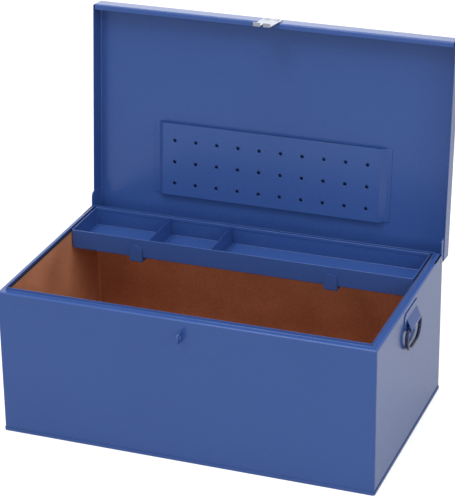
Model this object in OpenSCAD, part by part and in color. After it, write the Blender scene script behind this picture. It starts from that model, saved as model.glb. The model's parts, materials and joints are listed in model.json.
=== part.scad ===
// Sheet-steel tool chest: hinged lid with a perforated tool panel, lift-out tray on two hooks,
// hardboard lining, padlock hasp and a drop handle at each end.
// The chest stands on z = 0 with its front towards -y. The lid is drawn open.

/* [Chest] */
// Width of the body, left to right
chest_w = 660; // [520:1:900]
// Depth of the body, front to back
chest_d = 390; // [330:1:600]
// Height of the body to the top of its rim flange
body_h = 262; // [190:1:400]
// Depth of the lid pan
lid_h = 32; // [28:1:60]
// Angle from the closed lid to the open lid
lid_open = 95; // [80:1:105]

/* [Sheet steel] */
// Thickness of the body sheet
wall = 1.0; // [0.8:0.1:1.5]
// Thickness of the lid sheet
lid_sheet = 1.2; // [0.8:0.1:1.5]
// Thickness of the bottom pan
pan_sheet = 1.0; // [0.8:0.1:2]
// Inside radius of every bend in the body and the lid
bend_in = 2; // [1.5:0.1:2.5]
// Height of the bottom pan's lip outside the walls
pan_lip_h = 6; // [4:0.5:15]

/* [Rim] */
// Width of the flange round the mouth, to the inner face of its lip
flange_w = 12.5; // [11:0.5:20]
// Height of the lip above the flange
lip_h = 5.5; // [4:0.5:9]
// Width of the lid's front return flange
return_w = 9.5; // [6:0.5:10]

/* [Lining] */
// Thickness of the hardboard
board = 3.2; // [2:0.2:5]
// Drop from the flange top to the top of the side boards
board_drop = 1; // [1:0.5:10]
// Side of the folded strip in each upright corner of the boards
corner_fold = 3.5; // [2:0.5:8]

/* [Hinge] */
// Distance from the rear face of the body to the hinge rivets
pin_back = 5.5; // [5.2:0.1:8]
// Distance from the flange top down to the hinge rivets
pin_drop = 13; // [11:0.5:16]
// Radius of the hinge rivet's shank
pin_r = 2; // [1.5:0.1:2.2]
// Radius of the rivet heads at the hinges
pin_head_r = 3.8; // [3:0.2:3.8]
// Thickness of the hinge ears
ear_t = 2; // [1.5:0.1:3]
// Length of an ear, front to back
ear_len = 40; // [25:1:60]
// How far an ear reaches below the lid's edge
ear_reach = 12; // [6:0.5:12]
// How far an ear laps up inside the lid's skirt
ear_lap = 20; // [10:1:24]
// Radius of the ear's front corner
ear_corner = 8; // [3:0.5:9]

/* [Tray] */
// Depth of the tray, front to back
tray_d = 109; // [80:1:150]
// Height of the tray
tray_h = 35; // [25:1:60]
// Thickness of the tray sheet
tray_sheet = 1.0; // [0.8:0.1:1.5]
// Radius of the tray's upright corners, outside
tray_corner = 4; // [3.5:0.5:8]
// Height of the tray's rim above the flange
tray_proud = 5; // [0:0.5:5]
// Height of the folded hem at the tray's rim
hem_h = 6; // [3:0.5:10]
// Distance from the middle of the chest to the left divider
divider_left = 167; // [120:1:220]
// Distance from the middle of the chest to the right divider
divider_right = 51; // [10:1:80]
// Width of a divider's foot
divider_foot = 8; // [5:0.5:15]
// Drop from the tray's rim to the top of the dividers
divider_drop = 1; // [0:0.5:5]

/* [Tray hooks] */
// Width of a hook
hook_w = 24; // [16:1:40]
// Thickness of the hook's sheet
hook_sheet = 2; // [1.5:0.1:2.5]
// Height of the channel that carries the tray
hook_channel = 8; // [6:0.5:14]
// Height of the tab in front of the tray, above the tray's floor
hook_tab = 23; // [14:1:30]
// Length of the leg on the rear wall
hook_leg = 45; // [20:1:80]
// Distance from the middle of the chest to the left hook
hook_left = 190; // [100:1:230]
// Distance from the middle of the chest to the right hook
hook_right = 168; // [100:1:230]

/* [Tool panel] */
// Width of the raised face
panel_w = 406; // [396:1:440]
// Height of the face, up the open lid
panel_h = 134; // [110:1:180]
// Distance from the lid's sheet to the outside of the face
panel_stand = 10; // [6:0.5:16]
// Thickness of the panel's sheet
panel_sheet = 1.0; // [0.8:0.1:1.5]
// Slant of the legs at the panel's ends, measured along the lid
panel_leg = 10; // [6:0.5:16]
// Width of the feet at the panel's ends
panel_foot = 8; // [5:0.5:15]
// Distance from the lid's rear face to the panel
panel_back = 48; // [35:1:80]
// Distance between neighbouring holes
hole_pitch = 40; // [30:1:43]
// Radius of the holes
hole_r = 3.25; // [2:0.25:6]
// Holes in a row
hole_columns = 10; // [4:1:10]
// Rows of holes
hole_rows = 3; // [1:1:3]
// Distance from the panel's rear edge to the nearest row
hole_margin = 23; // [12:1:24]

/* [Hasp and staple] */
// Width of the hasp at the lid
hasp_w = 36; // [34:1:60]
// Width of the hasp at its tip
hasp_tip_w = 31; // [24:1:34]
// Thickness of the hasp
hasp_sheet = 1.5; // [1:0.1:2]
// How far the hasp hangs below the lid's edge
hasp_drop = 40; // [38:1:44]
// How far the hasp laps up the lid's skirt
hasp_lap = 20; // [18:1:24]
// Step that keeps the hasp off the body
hasp_step = 1; // [0.8:0.1:2]
// How far the lips at the hasp's tip stand out, under the padlock's shackle
lip_out = 7; // [6:0.5:8]
// Thickness of the staple
staple_t = 3; // [3:0.5:5]
// How far the staple stands out of the front
staple_out = 20; // [18:0.5:22]
// Height of the staple
staple_h = 18; // [17:0.5:20]
// Drop from the flange top to the top of the staple
staple_drop = 18; // [16:0.5:18]
// Radius of the staple's padlock hole
shackle_hole_r = 4.5; // [3.5:0.25:5]
// Distance from the padlock hole's centre to the front face
eye_out = 9.5; // [9:0.25:10]
// Distance from the padlock hole's centre to the staple's top
eye_edge = 8; // [7:0.25:9]

/* [Handles] */
// Width of the handle's plate
plate_w = 82; // [80:1:110]
// Height of the plate above the bow's bar
plate_h = 31; // [28:1:50]
// Thickness of the plate
plate_sheet = 1.5; // [1.2:0.1:2]
// Radius of the plate's upper corners
plate_corner = 12; // [6:1:14]
// Radius of the plate's lower corners
plate_taper = 13; // [6:1:13]
// Drop from the flange top to the top of the plate
plate_drop = 10; // [8:1:30]
// Length of the hood over the bow's bar
hood_w = 56; // [40:1:56]
// Height of the hood above the bow's bar
hood_h = 18; // [14:1:20]
// Radius of the bow's rod
bow_r = 3; // [2:0.25:4]
// Drop from the bow's upper bar to its lower bar
bow_drop = 38; // [38:1:60]
// Radius of the bow's upper corners, on the rod's centre line
bow_top_corner = 11; // [6:1:11]
// Radius of the bow's lower corners, on the rod's centre line
bow_corner = 26; // [10:1:26]

/* [Rivets] */
// Radius of a rivet's shank
rivet_r = 2; // [1.5:0.1:2.5]
// Radius of a rivet's head
rivet_head_r = 4; // [3:0.25:5]
// Height of a rivet's head
rivet_head_h = 1.6; // [1:0.1:2.5]

/* [Clearances] */
// Running clearance of the hinge rivets in the ears, on the radius
pin_fit = 0.05; // [0.02:0.01:0.1]
// Gap between the ears and the side walls
ear_clear = 0.2; // [0.2:0.05:0.5]
// Gap between the ears and the inner rivet heads
pin_gap = 0.3; // [0.2:0.05:0.5]
// Gap round the ears in their slots
slot_clear = 0.5; // [0.4:0.1:1]
// Gap under the closed lid
lid_gap = 0.3; // [0.3:0.1:1]
// Gap under the tray
tray_seat = 0.3; // [0.3:0.1:1]
// Gap round the tray
tray_clear = 0.8; // [0.5:0.1:2]
// Gap between the bow's rod and its knuckle, on the radius
bow_fit = 0.3; // [0.2:0.05:0.5]
// Gap between the roll of the knuckle and the wall
knuckle_off = 0.2; // [0.2:0.05:1]
// Gap between the pan's lip and the walls
pan_clear = 0.2; // [0.2:0.05:0.5]
// Gap between the staple and the hasp's slot
hasp_clear = 1.25; // [1:0.25:2]
// Gap between the ends of the hood and the bow's corners
bow_clear = 1; // [0.5:0.5:3]

/* [Hidden] */
$fn = 48;

BLUE = [0.25, 0.33, 0.58];
BOARD = [0.45, 0.25, 0.14];
ZINC = [0.72, 0.74, 0.78];
NAVY = [0.12, 0.14, 0.28];

cut = 1;                                        // how far a cutter runs past what it cuts
side_x = chest_w / 2;                           // outer face of the right side
rear_y = chest_d / 2;                           // outer face of the rear
bend_r = bend_in + wall;                        // outside radius of the body's bends
pin_y = rear_y - pin_back;
pin_z = body_h - pin_drop;
slot_in = wall + ear_clear + ear_t + slot_clear; // inner side of the ear slots, from the outer face
ear_back = pin_back - bend_in - lid_sheet - slot_clear / 2; // the ear's rear edge, behind the rivet
boss_r = pin_back - wall - slot_clear;          // round end of the ear at the rivet
// depth of the notches in the rear wall, in which the ears of the open lid come to rest
notch_drop = pin_drop + slot_clear + (ear_back - pin_back * cos(lid_open)) / sin(lid_open);

lid_w = chest_w - 2 * (wall + ear_clear - lid_sheet);
lid_bend_r = bend_in + lid_sheet;
lid_edge = body_h + lid_gap;                    // free edge of the closed lid
lid_top = lid_edge + lid_h;
lid_inside = lid_top - lid_sheet;               // inner face of the closed lid
ear_x = lid_w / 2 - lid_sheet;                  // outer face of the right ear

board_top = body_h - board_drop;
board_foot = pan_sheet + board;                 // the wall boards stand on the floor board
board_x = side_x - flange_w;                    // outer face of the right board
board_y = rear_y - flange_w;                    // outer face of the rear board

tray_w = 2 * (board_x - board - tray_clear);
tray_rear = board_y - board - tray_clear;
tray_front = tray_rear - tray_d;
tray_floor = body_h + tray_proud - tray_h;      // underside of the tray
hook_web = tray_floor - tray_seat - hook_channel; // underside of the hook's channel
hook_back = rear_y - wall;                      // the hook's leg lies on the rear wall
hook_face = tray_front - tray_clear;            // rear face of the tab

eye_z = body_h - staple_drop - eye_edge;        // the padlock hole's centre
hasp_face = rear_y + hasp_step;                 // inner face of the hasp, from the middle
hasp_slot = staple_t / 2 + hasp_clear;          // half the width of the hasp's slot
hasp_rivet_x = hasp_w / 4;
hasp_rivet_z = lid_edge + lid_h / 2 - lid_sheet;

knuckle_z = body_h - plate_drop - plate_h;      // axis of the bow's bar
knuckle_r = bow_r + bow_fit + plate_sheet;      // outside radius of the roll round the bar
knuckle_x = side_x + knuckle_off + knuckle_r;

// ---- Drawing helpers ----

function unit(v) = v / norm(v);
function dir(pts, i) = unit(pts[i + 1] - pts[i]);
function turn(a, b) = acos(max(-1, min(1, a * b)));
function hand(a, b) = sign(a[0] * b[1] - a[1] * b[0]);
function inner(pts, i) = i > 0 && i < len(pts) - 1;
// length that a bend of centre-line radius rc takes off each leg at corner i
function setback(pts, i, rc) = inner(pts, i) ? rc * tan(turn(dir(pts, i - 1), dir(pts, i)) / 2) : 0;

// Part of a ring, from the x axis through angle a
module ring_sector(r_in, r_out, a) {
    far = 2 * r_out;
    intersection() {
        difference() {
            circle(r_out);
            circle(r_in);
        }
        polygon([[0, 0], [far, 0], far / cos(a / 2) * [cos(a / 2), sin(a / 2)], far * [cos(a), sin(a)]]);
    }
}

// A sheet t thick seen on its edge: its middle runs along the points, with bends of inside radius r
module sheet_path(pts, t, r) {
    rc = r + t / 2;
    for (i = [0 : len(pts) - 2]) {
        d = dir(pts, i);
        p = pts[i] + d * setback(pts, i, rc);
        run = norm(pts[i + 1] - pts[i]) - setback(pts, i, rc) - setback(pts, i + 1, rc);
        if (run > 0.001)
            translate(p) rotate(atan2(d[1], d[0])) translate([0, -t / 2]) square([run, t]);
    }
    for (i = [1 : len(pts) - 2]) {
        d = dir(pts, i - 1);
        s = hand(d, dir(pts, i));
        a = turn(d, dir(pts, i));
        n = s * [-d[1], d[0]];
        start = atan2(-n[1], -n[0]);
        translate(pts[i] - d * setback(pts, i, rc) + n * rc)
            rotate(s > 0 ? start : start - a) ring_sector(r, r + t, a);
    }
}

function normal(d) = [-d[1], d[0]];
// point i of the path, moved off to the left of it, with mitred corners
function beside(pts, i, off) =
    let (before = normal(dir(pts, max(i - 1, 0))), after = normal(dir(pts, min(i, len(pts) - 2))))
    let (m = unit(before + after))
    pts[i] + m * off / (m * before);

// A sheet t thick seen on its edge, with sharp folds
module sheet_fold(pts, t) {
    last = len(pts) - 1;
    polygon([
        for (i = [0 : last]) beside(pts, i, t / 2),
        for (i = [0 : last]) beside(pts, last - i, -t / 2),
    ]);
}

// Rectangle with its corner at the origin and a round of radius r[i] at each corner, anticlockwise
module rounded_plate(w, h, r) {
    corners = [[0, 0], [w, 0], [w, h], [0, h]];
    difference() {
        square([w, h]);
        for (i = [0 : 3]) if (r[i] > 0)
            translate(corners[i]) rotate(90 * i) translate([-cut, -cut]) difference() {
                square(r[i] + cut);
                translate([r[i] + cut, r[i] + cut]) circle(r[i]);
            }
    }
}

// Sweeps a profile round a rectangle w by d with outer corner radius r. In the profile, x is the
// distance outwards from the corner's centre and y is the height. Side 0 is the front.
module edge_sweep(w, d, r, sides = [0, 1, 2, 3]) {
    for (k = [0 : 3]) {
        across = (k % 2 == 0 ? w : d) / 2 - r;
        out = (k % 2 == 0 ? d : w) / 2 - r;
        rotate([0, 0, 90 * k]) translate([across, -out, 0]) {
            rotate([0, 0, -90]) rotate_extrude(angle = 90) children();
            if (len(search(k, sides)) > 0)
                rotate([90, 0, -90]) linear_extrude(2 * across) children();
        }
    }
}

// A domed rivet along +z: its head's seat is at z = 0, its shank runs up to z = grip, and a
// second head closes it there
module rivet(shank_r, head_r, head_h, grip) {
    dome_r = (head_r * head_r + head_h * head_h) / (2 * head_h);
    rotate_extrude() {
        square([shank_r, grip]);
        for (end = [0, 1]) translate([0, end * grip]) mirror([0, 1 - end]) intersection() {
            translate([0, head_h - dome_r]) circle(dome_r);
            square([head_r, head_h]);
        }
    }
}

// Draws its children on the left or the right side; they are drawn for the right
module on_side(s) {
    if (s > 0) children();
    else mirror([1, 0, 0]) children();
}

// Turns what is drawn on the closed lid to the open lid
module in_lid() {
    translate([0, pin_y, pin_z]) rotate([-lid_open, 0, 0]) translate([0, -pin_y, -pin_z]) children();
}

// ---- Body ----

// Wall, flange and lip: x inwards from the outer face, y up
module rim_profile() {
    mid = wall / 2;
    sheet_path([
        [mid, pan_sheet], [mid, body_h - mid],
        [flange_w - mid, body_h - mid], [flange_w - mid, body_h + lip_h],
    ], wall, bend_in);
}

// One straight wall with its flange mitred at both ends, outer face on y = 0
module wall_run(length) {
    straight = length / 2 - bend_r;
    deep = flange_w + cut;
    intersection() {
        translate([-straight, 0, 0]) rotate([90, 0, 90]) linear_extrude(2 * straight) rim_profile();
        linear_extrude(body_h + 2 * lip_h) polygon([
            [-straight, -cut], [straight, -cut], [straight, bend_r], [length / 2 - deep, deep],
            [deep - length / 2, deep], [-straight, bend_r],
        ]);
    }
}

// The front or rear wall, which carries the bends at the body's upright corners
module end_wall() {
    translate([0, -rear_y, 0]) {
        wall_run(chest_w);
        for (s = [-1, 1]) on_side(s)
            translate([side_x - bend_r, bend_r, 0]) rotate([0, 0, -90]) rotate_extrude(angle = 90)
                intersection() {
                    translate([bend_r, 0]) mirror([1, 0]) rim_profile();
                    square([bend_r, 2 * body_h]);
                }
    }
}

module front_panel() {
    color(BLUE) end_wall();
}

module rear_panel() {
    color(BLUE) difference() {
        mirror([0, 1, 0]) end_wall();
        for (s = [-1, 1]) on_side(s)
            translate([side_x - slot_in, rear_y - flange_w - cut, body_h - notch_drop])
                cube([slot_in - wall, flange_w + 2 * cut, notch_drop + lip_h + cut]);
    }
}

module side_panel() {
    color(BLUE) difference() {
        translate([side_x, 0, 0]) rotate([0, 0, 90]) wall_run(chest_d);
        // slot in the flange for the hinge ear
        translate([side_x - slot_in, pin_y + ear_back - ear_len - slot_clear, body_h - bend_r])
            cube([slot_in - wall, chest_d, bend_r + lip_h]);
        translate([side_x - slot_in, pin_y, pin_z]) rotate([0, 90, 0]) cylinder(r = pin_r, h = 2 * slot_in);
    }
}

module left_side_panel() {
    on_side(-1) side_panel();
}

module right_side_panel() {
    on_side(1) side_panel();
}

module bottom_pan() {
    pan_r = bend_r + pan_clear + pan_sheet;
    spread = 2 * (pan_clear + pan_sheet);
    mid = pan_sheet / 2;
    color(BLUE) {
        edge_sweep(chest_w + spread, chest_d + spread, pan_r)
            sheet_path([[0, mid], [pan_r - mid, mid], [pan_r - mid, pan_lip_h]], pan_sheet, pan_clear);
        translate([bend_r - side_x, bend_r - rear_y, 0])
            cube([chest_w - 2 * bend_r, chest_d - 2 * bend_r, pan_sheet]);
    }
}

module hinge_rivets() {
    color(ZINC) for (s = [-1, 1]) on_side(s) translate([side_x, pin_y, pin_z]) rotate([0, -90, 0])
        rivet(pin_r, pin_head_r, rivet_head_h, wall + ear_clear + ear_t + pin_gap);
}

// Eye plate across the front panel, with a hole for the padlock's shackle
module padlock_staple() {
    color(BLUE) difference() {
        translate([-staple_t / 2, -rear_y - staple_out, body_h - staple_drop - staple_h])
            rotate([90, 0, 90]) linear_extrude(staple_t)
                rounded_plate(staple_out, staple_h, [eye_edge, 0, 0, eye_edge]);
        translate([-staple_t, -rear_y - eye_out, eye_z]) rotate([0, 90, 0])
            cylinder(r = shackle_hole_r, h = 2 * staple_t);
    }
}

// ---- Lining ----

module floor_lining() {
    gap = wall + pan_clear;
    color(BOARD) difference() {
        translate([gap - side_x, gap - rear_y, pan_sheet])
            cube([chest_w - 2 * gap, chest_d - 2 * gap, board]);
        // square corners of the board stay clear of the walls' bends
        for (x = [-1, 1], y = [-1, 1])
            translate([x * side_x, y * rear_y, 0]) rotate([0, 0, 45])
                translate([-bend_r, -bend_r, 0]) cube([2 * bend_r, 2 * bend_r, body_h]);
    }
}

module front_lining() {
    color(BOARD) translate([board - board_x, -board_y, board_foot])
        cube([2 * (board_x - board), board, board_top - board_foot]);
}

// The rear board is notched from its top edge for the tray's hooks
module rear_lining() {
    color(BOARD) difference() {
        translate([board - board_x, board_y - board, board_foot])
            cube([2 * (board_x - board), board, board_top - board_foot]);
        for (x = [-hook_left, hook_right])
            translate([x - hook_w / 2 - slot_clear, board_y - board - cut, hook_web - slot_clear])
                cube([hook_w + 2 * slot_clear, board + 2 * cut, body_h]);
    }
}

// A side board, folded at each end into the corner with the front and rear boards
module side_lining() {
    face = board_x - board;
    end = board_y - board;
    color(BOARD) translate([0, 0, board_foot]) linear_extrude(board_top - board_foot) polygon([
        [board_x, -board_y], [board_x, board_y], [face, board_y],
        [face, end], [face - corner_fold, end], [face, end - corner_fold],
        [face, corner_fold - end], [face - corner_fold, -end], [face, -end], [face, -board_y],
    ]);
}

module left_lining() {
    on_side(-1) side_lining();
}

module right_lining() {
    on_side(1) side_lining();
}

// ---- Tray hooks ----

// A leg on the rear wall, a channel under the tray and a round-topped tab in front of it
module tray_hook() {
    mid = hook_sheet / 2;
    tab_top = tray_floor + hook_tab;
    color(BLUE) {
        difference() {
            translate([-hook_w / 2, 0, 0]) rotate([90, 0, 90]) linear_extrude(hook_w) sheet_path([
                [hook_back - mid, hook_web - hook_leg], [hook_back - mid, hook_web + mid],
                [hook_face - mid, hook_web + mid], [hook_face - mid, tab_top],
            ], hook_sheet, mid);
            translate([0, hook_face + cut, tab_top - hook_w / 2]) rotate([90, 0, 0])
                linear_extrude(hook_sheet + 2 * cut) difference() {
                    translate([-hook_w, 0]) square([2 * hook_w, hook_w]);
                    circle(hook_w / 2);
                }
        }
        for (s = [0, 1]) translate([s * (hook_w - hook_sheet) - hook_w / 2, hook_face, hook_web + mid])
            cube([hook_sheet, hook_back - hook_sheet - hook_face, hook_channel - mid]);
    }
}

module left_tray_hook() {
    translate([-hook_left, 0, 0]) tray_hook();
}

module right_tray_hook() {
    translate([hook_right, 0, 0]) tray_hook();
}

// ---- Handles ----

// Plate on the side wall. Its middle is pressed out into a hood that rolls round the bow's bar.
module handle_plate() {
    bar_x = knuckle_x - side_x;
    corners = [plate_taper, plate_taper, plate_corner, plate_corner];
    color(BLUE) translate([side_x, 0, knuckle_z]) difference() {
        union() {
            difference() {
                translate([0, -plate_w / 2, 0]) rotate([90, 0, 90]) linear_extrude(plate_sheet)
                    rounded_plate(plate_w, plate_h, corners);
                translate([-cut, -hood_w / 2, -cut]) cube([plate_sheet + 2 * cut, hood_w, hood_h + cut]);
            }
            translate([0, hood_w / 2, 0]) rotate([90, 0, 0]) linear_extrude(hood_w) {
                hood_slope(bar_x);
                translate([bar_x, 0]) circle(knuckle_r);
            }
        }
        translate([bar_x, hood_w, 0]) rotate([90, 0, 0])
            cylinder(r = knuckle_r - plate_sheet, h = 2 * hood_w);
    }
}

// The hood's slanted sheet, seen from its end: from the plate down to the roll at bar_x
module hood_slope(bar_x) {
    top = [plate_sheet, hood_h + plate_sheet];
    reach = norm(top - [bar_x, 0]);
    a = atan2(top[1], top[0] - bar_x) - acos(knuckle_r / reach);
    out = [cos(a), sin(a)];
    touch = [bar_x, 0] + knuckle_r * out;
    // this point inside the roll makes the slope one piece with it
    root = [bar_x, 0] + (knuckle_r - plate_sheet / 2) * [cos(a - 10), sin(a - 10)];
    polygon([top, touch, root, touch - plate_sheet * out, top - plate_sheet * out]);
}

module left_handle_plate() {
    on_side(-1) handle_plate();
}

module right_handle_plate() {
    on_side(1) handle_plate();
}

// A closed loop of rod that hangs from its upper bar, in the plane x = knuckle_x
module handle_bow() {
    half = hood_w / 2 + bow_clear;                // end of the straight bar
    side = half + bow_top_corner;                 // where the legs hang
    leg = bow_drop - bow_top_corner - bow_corner;
    color(NAVY) translate([knuckle_x, 0, knuckle_z]) rotate([90, 0, 90]) {
        for (bar = [[0, half], [-bow_drop, side - bow_corner]])
            translate([-bar[1], bar[0], 0]) rotate([0, 90, 0]) cylinder(r = bow_r, h = 2 * bar[1]);
        for (s = [-1, 1]) on_side(s) {
            translate([side, -bow_top_corner, 0]) rotate([90, 0, 0]) cylinder(r = bow_r, h = leg);
            translate([half, -bow_top_corner, 0]) rotate_extrude(angle = 90)
                translate([bow_top_corner, 0]) circle(bow_r);
            translate([side - bow_corner, bow_corner - bow_drop, 0]) rotate([0, 0, -90])
                rotate_extrude(angle = 90) translate([bow_corner, 0]) circle(bow_r);
        }
    }
}

module left_handle_bow() {
    on_side(-1) handle_bow();
}

module right_handle_bow() {
    on_side(1) handle_bow();
}

// ---- Lid ----

// Sheet pan with rounded edges and a return flange along the front of its skirt
module lid_pan() {
    mid = lid_sheet / 2;
    out = lid_bend_r - mid;
    straight_w = lid_w - 2 * lid_bend_r;
    straight_d = chest_d - 2 * lid_bend_r;
    skirt = [[0, lid_top - mid], [out, lid_top - mid], [out, lid_edge]];
    front = [skirt[0], skirt[1], [out, lid_edge + mid], [out + mid - return_w, lid_edge + mid]];
    color(BLUE) in_lid() difference() {
        union() {
            edge_sweep(lid_w, chest_d, lid_bend_r, [1, 2, 3]) sheet_path(skirt, lid_sheet, bend_in);
            translate([straight_w / 2, -straight_d / 2, 0]) rotate([90, 0, -90])
                linear_extrude(straight_w) sheet_path(front, lid_sheet, bend_in);
            translate([-straight_w / 2, -straight_d / 2, lid_inside])
                cube([straight_w, straight_d, lid_sheet]);
        }
        hasp_rivet_holes();
    }
}

module hasp_rivet_holes() {
    for (s = [-1, 1]) translate([s * hasp_rivet_x, -rear_y - 2 * hasp_sheet, hasp_rivet_z])
        rotate([-90, 0, 0]) cylinder(r = rivet_r, h = 4 * hasp_sheet + lid_sheet);
}

// Plate inside the lid's skirt that reaches down through the rim to its rivet
module hinge_ear() {
    bottom = lid_edge - ear_reach;
    front = pin_y + ear_back - ear_len;
    color(BLUE) in_lid() difference() {
        translate([ear_x - ear_t, 0, 0]) rotate([90, 0, 90]) linear_extrude(ear_t) {
            translate([front, bottom])
                rounded_plate(ear_len, ear_reach + ear_lap, [ear_corner, 0, ear_t, ear_t]);
            translate([pin_y, pin_z]) circle(boss_r);
            translate([pin_y - boss_r, pin_z]) square([boss_r + ear_back, bottom - pin_z + cut]);
        }
        translate([ear_x - 2 * ear_t, pin_y, pin_z]) rotate([0, 90, 0])
            cylinder(r = pin_r + pin_fit, h = 3 * ear_t);
    }
}

module left_hinge_ear() {
    on_side(-1) hinge_ear();
}

module right_hinge_ear() {
    on_side(1) hinge_ear();
}

// Perforated sheet that stands off the lid on slanted legs, open above and below
module tool_panel() {
    mid = panel_sheet / 2;
    foot_z = lid_inside - mid;
    face_z = lid_inside - panel_stand + mid;
    leg_x = panel_w / 2;
    foot_x = leg_x + panel_leg;
    end_x = foot_x + panel_foot;
    rear = rear_y - panel_back;
    color(BLUE) in_lid() difference() {
        translate([0, rear, 0]) rotate([90, 0, 0]) linear_extrude(panel_h) sheet_fold([
            [-end_x, foot_z], [-foot_x, foot_z], [-leg_x, face_z],
            [leg_x, face_z], [foot_x, foot_z], [end_x, foot_z],
        ], panel_sheet);
        for (i = [0 : hole_columns - 1], j = [0 : hole_rows - 1])
            translate([(i - (hole_columns - 1) / 2) * hole_pitch, rear - hole_margin - j * hole_pitch,
                face_z - panel_sheet])
                cylinder(r = hole_r, h = 2 * panel_sheet);
    }
}

// Plate riveted to the lid's skirt. Its slot is open at the tip, so that it drops over the staple,
// and the lips at the tip come to rest under the padlock's shackle.
module hasp_plate() {
    mid = hasp_sheet / 2;
    tip = lid_edge - hasp_drop;
    top = lid_edge + hasp_lap;
    step_low = lid_edge + 3 * hasp_step;
    step_high = step_low + 2 * hasp_step;
    slot_h = body_h - staple_drop + hasp_clear - tip;
    color(ZINC) in_lid() difference() {
        intersection() {
            translate([-hasp_w / 2, 0, 0]) rotate([90, 0, 90]) linear_extrude(hasp_w) sheet_fold([
                [-rear_y - mid, top], [-rear_y - mid, step_high],
                [-hasp_face - mid, step_low], [-hasp_face - mid, tip + mid],
                [-hasp_face - lip_out, tip + mid],
            ], hasp_sheet);
            translate([0, -rear_y + cut, 0]) rotate([90, 0, 0]) linear_extrude(chest_d) polygon([
                [-hasp_w / 2, top], [-hasp_w / 2, step_high], [-hasp_tip_w / 2, tip],
                [hasp_tip_w / 2, tip], [hasp_w / 2, step_high], [hasp_w / 2, top],
            ]);
        }
        translate([-hasp_slot, -hasp_face - lip_out - cut, tip - cut])
            cube([2 * hasp_slot, lip_out + hasp_step + cut, slot_h + cut]);
        hasp_rivet_holes();
    }
}

module hasp_rivets() {
    color(ZINC) in_lid() for (s = [-1, 1])
        translate([s * hasp_rivet_x, -rear_y - hasp_sheet, hasp_rivet_z]) rotate([-90, 0, 0])
            rivet(rivet_r, rivet_head_r, rivet_head_h, hasp_sheet + lid_sheet);
}

// ---- Tray ----

// Open tray with a folded hem round its rim
module tray_pan() {
    mid = tray_sheet / 2;
    out = tray_corner - mid;
    color(BLUE) translate([0, (tray_front + tray_rear) / 2, tray_floor]) {
        edge_sweep(tray_w, tray_d, tray_corner) {
            sheet_path([[0, mid], [out, mid], [out, tray_h]], tray_sheet, tray_sheet);
            translate([tray_corner - 2 * tray_sheet, tray_h - hem_h]) square([tray_sheet + mid, hem_h]);
        }
        translate([tray_corner - tray_w / 2, tray_corner - tray_d / 2, 0])
            cube([tray_w - 2 * tray_corner, tray_d - 2 * tray_corner, tray_sheet]);
    }
}

// Upright sheet between the hems of the tray, with a foot on the tray's floor
module tray_divider(x) {
    mid = tray_sheet / 2;
    floor_z = tray_floor + tray_sheet + mid;
    color(BLUE) translate([x, tray_rear - 2 * tray_sheet, 0]) rotate([90, 0, 0])
        linear_extrude(tray_d - 4 * tray_sheet) sheet_path([
            [0, tray_floor + tray_h - divider_drop], [0, floor_z], [divider_foot, floor_z],
        ], tray_sheet, tray_sheet);
}

module left_tray_divider() {
    tray_divider(-divider_left);
}

module right_tray_divider() {
    tray_divider(-divider_right);
}

front_panel();
rear_panel();
left_side_panel();
right_side_panel();
bottom_pan();
floor_lining();
front_lining();
rear_lining();
left_lining();
right_lining();
left_tray_hook();
right_tray_hook();
padlock_staple();
left_handle_plate();
right_handle_plate();
hinge_rivets();
lid_pan();
left_hinge_ear();
right_hinge_ear();
tool_panel();
hasp_plate();
hasp_rivets();
tray_pan();
left_tray_divider();
right_tray_divider();
left_handle_bow();
right_handle_bow();
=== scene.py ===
"""Sheet-steel tool chest: materials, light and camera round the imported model, in metres."""
import json
import math

import bpy
from mathutils import Matrix, Vector

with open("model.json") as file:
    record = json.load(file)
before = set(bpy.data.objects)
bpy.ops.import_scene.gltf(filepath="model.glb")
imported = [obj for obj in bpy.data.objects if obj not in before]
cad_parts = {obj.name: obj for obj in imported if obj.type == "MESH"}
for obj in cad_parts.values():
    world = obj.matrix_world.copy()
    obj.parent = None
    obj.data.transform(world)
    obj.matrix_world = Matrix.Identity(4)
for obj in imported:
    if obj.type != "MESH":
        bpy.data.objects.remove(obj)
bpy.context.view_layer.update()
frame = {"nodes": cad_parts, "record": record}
scene = bpy.context.scene


# ---- Camera: fitted to the chest's corners, rims and hole rows in the photograph ----

PHOTO_SIDE = 500  # long side of the picture, in pixels
CAMERA_AZIMUTH = 20.897  # degrees, from the front towards the right side
CAMERA_ELEVATION = 24.437
CAMERA_ROLL = -0.787
CAMERA_TARGET = Vector((0.00786, 0.0, 0.30494))
CAMERA_DISTANCE = 3.5698
CAMERA_FOCAL_PX = 2120.5
CAMERA_SENSOR_MM = 36.0
CAMERA_CLIP = (0.1, 100.0)


def add_camera():
    azimuth, elevation, roll = (
        math.radians(angle) for angle in (CAMERA_AZIMUTH, CAMERA_ELEVATION, CAMERA_ROLL))
    back = Vector((
        math.sin(azimuth) * math.cos(elevation),
        -math.cos(azimuth) * math.cos(elevation),
        math.sin(elevation),
    ))
    right = (-back).cross(Vector((0, 0, 1))).normalized()
    up = right.cross(-back)
    right, up = (
        right * math.cos(roll) + up * math.sin(roll),
        up * math.cos(roll) - right * math.sin(roll),
    )
    data = bpy.data.cameras.new("camera")
    data.sensor_width = CAMERA_SENSOR_MM
    data.lens = CAMERA_FOCAL_PX * CAMERA_SENSOR_MM / PHOTO_SIDE
    data.clip_start, data.clip_end = CAMERA_CLIP
    camera = bpy.data.objects.new("camera", data)
    turn = Matrix((right, up, back)).transposed().to_4x4()
    camera.matrix_world = Matrix.Translation(CAMERA_TARGET + back * CAMERA_DISTANCE) @ turn
    scene.collection.objects.link(camera)
    scene.camera = camera


# ---- Node helpers ----

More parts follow.
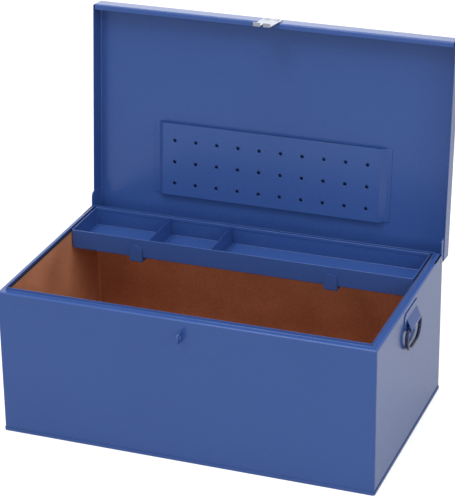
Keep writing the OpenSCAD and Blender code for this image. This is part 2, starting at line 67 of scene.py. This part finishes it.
def node_adder(tree):
    """A function that adds a node to the tree, links its inputs and sets its values."""

    def add(kind, links=(), **values):
        node = tree.nodes.new("ShaderNode" + kind)
        for key, value in values.items():
            if hasattr(node, key):
                setattr(node, key, value)
            else:
                node.inputs[key].default_value = value
        for socket, source in dict(links).items():
            tree.links.new(source, node.inputs[socket])
        return node

    return add


def material(name):
    """A new material, its Principled shader and the function that adds nodes to it."""
    mat = bpy.data.materials.new(name)
    mat.use_nodes = True
    return mat, mat.node_tree.nodes["Principled BSDF"], node_adder(mat.node_tree)


def calculate(add, operation, *terms):
    """The result of a Math node over sockets and plain numbers."""
    node = add("Math", operation=operation)
    for socket, term in zip(node.inputs, terms):
        if isinstance(term, float):
            socket.default_value = term
        else:
            node.id_data.links.new(term, socket)
    return node.outputs[0]


def average(add, first, second):
    return calculate(add, "MULTIPLY", calculate(add, "ADD", first, second), 0.5)


def noise(add, where, settings):
    return add("TexNoise", {"Vector": where}, **settings).outputs["Fac"]


def ramp(add, source, tones):
    """Colour ramp through (position, colour) tones."""
    node = add("ValToRGB", {"Fac": source})
    elements = node.color_ramp.elements
    while len(elements) > 1:
        elements.remove(elements[0])
    elements[0].position, elements[0].color = tones[0][0], (*tones[0][1], 1)
    for position, colour in tones[1:]:
        elements.new(position).color = (*colour, 1)
    return node.outputs["Color"]


def span(add, source, low, high):
    """Maps 0..1 to low..high."""
    return add("MapRange", {"Value": source}, **{"To Min": low, "To Max": high}).outputs["Result"]


def surface(shader, colour, roughness, bump):
    """Links a material's colour, roughness and relief to its shader."""
    links = shader.id_data.links
    links.new(colour, shader.inputs["Base Color"])
    links.new(roughness, shader.inputs["Roughness"])
    links.new(bump.outputs["Normal"], shader.inputs["Normal"])


# ---- Materials: noise scales count features per metre, and a tone is (ramp place, colour) ----

PAINT_CLOUD = {"Scale": 5.0, "Detail": 2.0}  # slow drift of the coat's tone
PAINT_CLOUD_SPAN = (0.35, 0.65)
PAINT_GRAIN = {"Scale": 420.0, "Detail": 3.0, "Roughness": 0.6}
PAINT_PEEL = {"Scale": 480.0, "Detail": 3.0}  # fine peel of the powder coat
PAINT_TONES = (
    (0.36, (0.030, 0.074, 0.255)),
    (0.50, (0.035, 0.085, 0.284)),
    (0.64, (0.041, 0.097, 0.313)),
)
PAINT_ROUGHNESS = (0.18, 0.28)
PAINT_BUMP = {"Strength": 0.25, "Distance": 0.0002}
PAINT_SPECULAR = 0.3  # of the powder coat and the enamel
FOLD_RADIUS = 0.0012  # of the bends in the sheet, for the light on them


def powder_coat():
    mat, shader, add = material("blue_powder_coat")
    where = add("TexCoord").outputs["Object"]
    cloud = noise(add, where, PAINT_CLOUD)
    grain = noise(add, where, PAINT_GRAIN)
    peel = noise(add, where, PAINT_PEEL)
    colour = ramp(add, average(add, span(add, cloud, *PAINT_CLOUD_SPAN), grain), PAINT_TONES)
    fold = add("Bevel", Radius=FOLD_RADIUS).outputs["Normal"]
    bump = add("Bump", {"Height": peel, "Normal": fold}, **PAINT_BUMP)
    surface(shader, colour, span(add, grain, *PAINT_ROUGHNESS), bump)
    shader.inputs["Specular IOR Level"].default_value = PAINT_SPECULAR
    return mat


BOARD_CLOUD = {"Scale": 14.0, "Detail": 4.0}
BOARD_FIBRE = {"Scale": 320.0, "Detail": 4.0, "Roughness": 0.7}
BOARD_TONES = (
    (0.34, (0.345, 0.130, 0.062)),
    (0.50, (0.460, 0.188, 0.094)),
    (0.66, (0.585, 0.252, 0.134)),
)
BOARD_ROUGHNESS = (0.60, 0.85)
BOARD_BUMP = {"Strength": 0.35, "Distance": 0.0003}
PAINTED_SHADE_EDGE_COLOUR = (0.045, 0.022, 0.016)  # painted shade: the boards' upper edges, which lie in the gap under the rim flange, are coloured dark
PAINTED_SHADE_EDGE_HEIGHT = 0.1  # the linings' upper edges lie above it, the floor lining below
PAINTED_SHADE_EDGE_UPWARD = 0.5  # the least height of the normal on such an edge


def hardboard():
    mat, shader, add = material("brown_hardboard")
    place = add("TexCoord")
    where = place.outputs["Object"]
    fibre = noise(add, where, BOARD_FIBRE)
    face_colour = ramp(add, average(add, noise(add, where, BOARD_CLOUD), fibre), BOARD_TONES)
    height = add("SeparateXYZ", {"Vector": where}).outputs["Z"]
    facing = add("SeparateXYZ", {"Vector": place.outputs["Normal"]}).outputs["Z"]
    high = calculate(add, "GREATER_THAN", height, PAINTED_SHADE_EDGE_HEIGHT)
    upward = calculate(add, "GREATER_THAN", facing, PAINTED_SHADE_EDGE_UPWARD)
    # a Mix node lists its sockets for every data type: A and B of a colour are inputs 6 and 7,
    # and the mixed colour is output 2
    # painted shade: the up-facing upper edges of the linings take a dark colour, for the shade in
    # the gap under the rim flange
    painted_shade = calculate(add, "MULTIPLY", high, upward)
    mix = add("Mix", {"Factor": painted_shade, 6: face_colour}, data_type="RGBA")
    mix.inputs[7].default_value = (*PAINTED_SHADE_EDGE_COLOUR, 1)
    bump = add("Bump", {"Height": fibre}, **BOARD_BUMP)
    surface(shader, mix.outputs[2], span(add, fibre, *BOARD_ROUGHNESS), bump)
    return mat


GRAINED_BUMP = {"Strength": 0.2, "Distance": 0.0001}  # of the zinc and the enamel
ZINC_CLOUD = {"Scale": 60.0, "Detail": 3.0}
ZINC_GRAIN = {"Scale": 900.0, "Detail": 2.0}
ZINC_TONES = ((0.3, (0.29, 0.31, 0.36)), (0.7, (0.38, 0.40, 0.46)))
ZINC_ROUGHNESS = (0.24, 0.40)
ENAMEL_CLOUD = {"Scale": 70.0, "Detail": 3.0}
ENAMEL_GRAIN = {"Scale": 700.0, "Detail": 2.0}
ENAMEL_TONES = ((0.35, (0.008, 0.013, 0.060)), (0.65, (0.013, 0.021, 0.090)))
ENAMEL_ROUGHNESS = (0.10, 0.20)


def grained(name, cloud, grain, tones, roughness):
    """A material whose tone drifts with the cloud, and whose gloss and relief follow the grain."""
    mat, shader, add = material(name)
    where = add("TexCoord").outputs["Object"]
    fine = noise(add, where, grain)
    bump = add("Bump", {"Height": fine}, **GRAINED_BUMP)
    surface(shader, ramp(add, noise(add, where, cloud), tones), span(add, fine, *roughness), bump)
    return mat, shader


def zinc_plate():
    mat, shader = grained("bright_zinc", ZINC_CLOUD, ZINC_GRAIN, ZINC_TONES, ZINC_ROUGHNESS)
    shader.inputs["Metallic"].default_value = 1.0
    return mat


def navy_enamel():
    mat, shader = grained(
        "navy_enamel", ENAMEL_CLOUD, ENAMEL_GRAIN, ENAMEL_TONES, ENAMEL_ROUGHNESS)
    shader.inputs["Specular IOR Level"].default_value = PAINT_SPECULAR
    return mat


# ---- Nodes: each takes its slot's material, and most get softly rounded edges ----

EDGE_ROUND = {"tray_pan": 0.0007, "hinge_rivets": 0.0002, "hasp_rivets": 0.0002}
SHEET_ROUND = 0.0004  # for every node that EDGE_ROUND doesn't name
SHARP_SLOT = "hardboard"
SHARP_NODE = "tool_panel"  # rounding would leave faint lines between its holes
WELD_DISTANCE = 0.000001
ROUND_SEGMENTS = 3
ROUND_ANGLE = 35  # degrees between two faces that make an edge


def round_edges(node, width):
    """Rounds the sharp edges of a piece, so that they catch the light as painted steel does."""
    weld = node.modifiers.new("weld", "WELD")
    weld.merge_threshold = WELD_DISTANCE
    bevel = node.modifiers.new("round", "BEVEL")
    bevel.width = width
    bevel.segments = ROUND_SEGMENTS
    bevel.limit_method = "ANGLE"
    bevel.angle_limit = math.radians(ROUND_ANGLE)
    bevel.harden_normals = True


def dress_nodes():
    materials = {
        "blue_paint": powder_coat(),
        "hardboard": hardboard(),
        "zinc": zinc_plate(),
        "navy_enamel": navy_enamel(),
    }
    slots = {part["node"]: part["material_slot"] for part in frame["record"]["subparts"]}
    for name, node in frame["nodes"].items():
        for slot in node.material_slots:
            slot.material = materials[slots[name]]
        if slots[name] != SHARP_SLOT and name != SHARP_NODE:
            round_edges(node, EDGE_ROUND.get(name, SHEET_ROUND))


# ---- Floor, world and lamps ----

FLOOR_HALF = 30.0
FLOOR_DROP = 0.0005  # keeps the floor clear of the bottom pan
FLOOR_COLOUR = (0.6, 0.6, 0.6)
FLOOR_ROUGHNESS = 0.9
FLOOR_GLOW = 0.62  # added to the lit floor where it is seen directly, so that it is white
FLOOR_MIRRORED = 0.34  # the same for the floor as the paint and the zinc mirror it
WORLD_LIGHT = 0.5  # what the world sheds on the chest; where it is seen it is white
WHITE = 1.0
LAMP_AIM = Vector((0, 0, 0.25))
LAMPS = (  # name, place, diameter, power in watts
    ("overhead", (0, 0, 3.2), 2.4, 50),
    ("left_front", (-2.0, -2.8, 1.8), 2.0, 7),
    ("front", (0.8, -3.6, 1.0), 1.6, 27),
    ("right", (2.6, -0.8, 1.6), 1.4, 16),
    ("front_top", (-0.6, -1.5, 3.0), 1.0, 22),
    ("rear_panel_light", (-1.5, 3.6, 1.75), 2.4, 13),
)


def backdrop_strength(add, shed, seen, mirrored):
    """Strength of a backdrop as it sheds light, as it is seen and as gloss mirrors it."""
    rays = add("LightPath").outputs
    direct = calculate(add, "MAXIMUM", rays["Is Camera Ray"], rays["Is Transmission Ray"])
    return calculate(
        add, "MAXIMUM",
        span(add, direct, shed, seen), span(add, rays["Is Glossy Ray"], shed, mirrored))


def add_floor():
    mesh = bpy.data.meshes.new("floor")
    signs = ((-1, -1), (1, -1), (1, 1), (-1, 1))
    corners = [(x * FLOOR_HALF, y * FLOOR_HALF, 0) for x, y in signs]
    mesh.from_pydata(corners, [], [(0, 1, 2, 3)])
    floor = bpy.data.objects.new("floor", mesh)
    floor.location.z = -FLOOR_DROP
    scene.collection.objects.link(floor)
    mat, shader, add = material("floor_white")
    shader.inputs["Base Color"].default_value = (*FLOOR_COLOUR, 1)
    shader.inputs["Roughness"].default_value = FLOOR_ROUGHNESS
    shader.inputs["Specular IOR Level"].default_value = 0.0
    glow = add("Emission", {"Strength": backdrop_strength(add, 0.0, FLOOR_GLOW, FLOOR_MIRRORED)})
    both = add("AddShader", {0: shader.outputs[0], 1: glow.outputs[0]})
    tree = mat.node_tree
    tree.links.new(both.outputs[0], tree.nodes["Material Output"].inputs["Surface"])
    mesh.materials.append(mat)


def add_world():
    world = bpy.data.worlds.new("studio")
    world.use_nodes = True
    tree = world.node_tree
    background = tree.nodes["Background"]
    background.inputs["Color"].default_value = (1, 1, 1, 1)
    strength = backdrop_strength(node_adder(tree), WORLD_LIGHT, WHITE, WHITE)
    tree.links.new(strength, background.inputs["Strength"])
    scene.world = world


def add_lamp(name, place, diameter, power):
    data = bpy.data.lights.new(name, "AREA")
    data.shape = "DISK"
    data.size = diameter
    data.energy = power
    lamp = bpy.data.objects.new(name, data)
    lamp.location = place
    lamp.rotation_euler = (LAMP_AIM - Vector(place)).to_track_quat("-Z", "Y").to_euler()
    lamp.visible_camera = False
    scene.collection.objects.link(lamp)


add_camera()
dress_nodes()
add_floor()
add_world()
for lamp_row in LAMPS:
    add_lamp(*lamp_row)
scene.view_settings.view_transform = "Standard"
